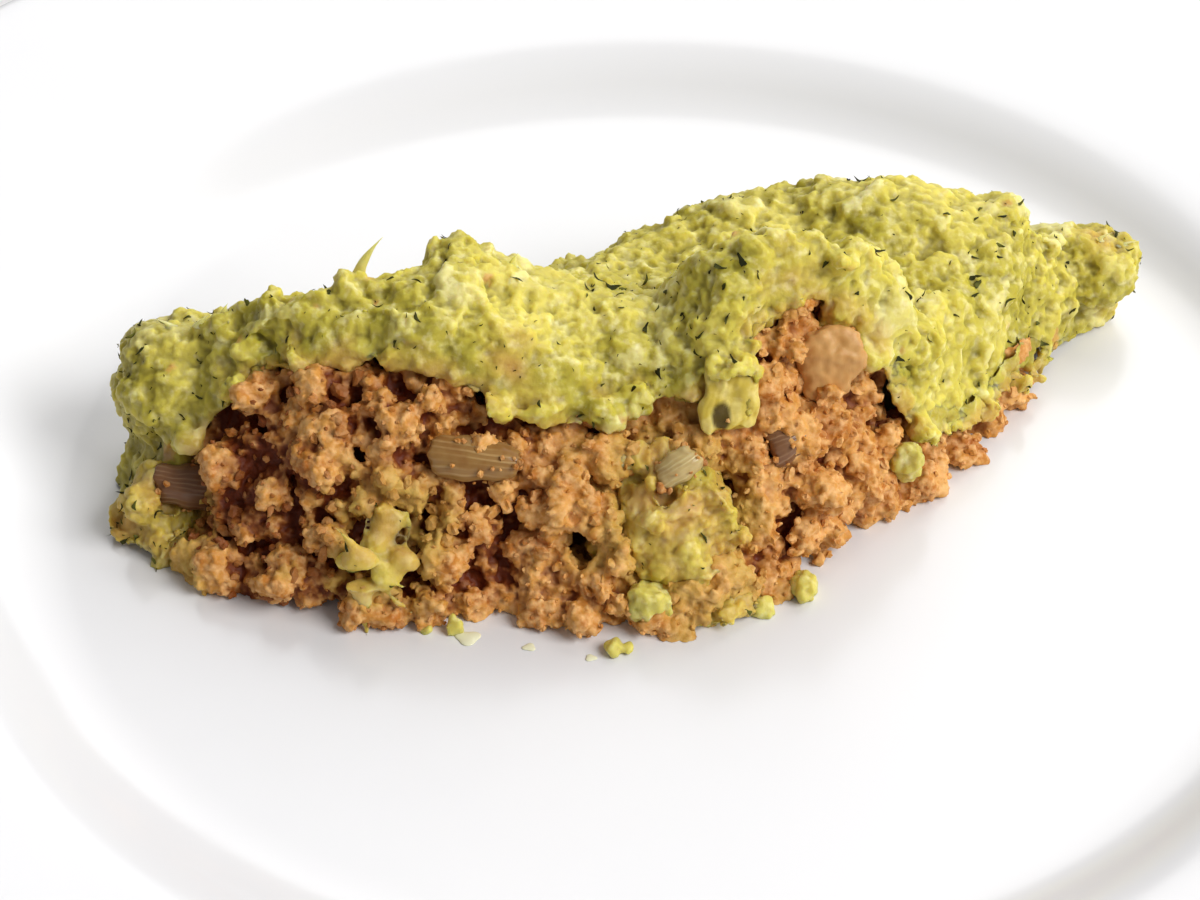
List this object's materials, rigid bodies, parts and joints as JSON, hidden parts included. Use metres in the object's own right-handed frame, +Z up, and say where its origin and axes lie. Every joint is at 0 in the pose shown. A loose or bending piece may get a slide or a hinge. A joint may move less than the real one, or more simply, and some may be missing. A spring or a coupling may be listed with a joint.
{
  "type": "shepherd's pie serving on a plate",
  "caption": "Crumbly minced filling under a thick herbed mashed potato cover, served open side forward on a round rimmed porcelain dinner plate.",
  "frame": {"origin": "centre of the underside of the plate's foot ring, on the table", "axes": "+Z up; +X to the right and -Y to the near side, as seen when the open side of the filling faces the viewer"},
  "size_m": [0.27, 0.27, 0.0468],
  "materials": {
    "porcelain": "white glazed porcelain, glossy",
    "mince": "cooked minced filling, moist and crumbly",
    "mash": "green-yellow mashed potato with herbs, moist",
    "onion": "cooked onion, translucent and wet",
    "leek": "cooked leek, translucent and wet"
  },
  "bodies": {
    "root": {"plate": "porcelain", "mince_filling": "mince", "mash_cover": "mash", "onion_left": "onion", "onion_middle": "onion", "onion_right": "onion", "onion_pale": "onion", "leek_slice": "leek", "mince_chunk": "mince", "mash_lump_face": "mash", "mash_smear_middle": "mash", "mash_lump_left": "mash", "mash_lump_near": "mash"}
  },
  "joints": []
}
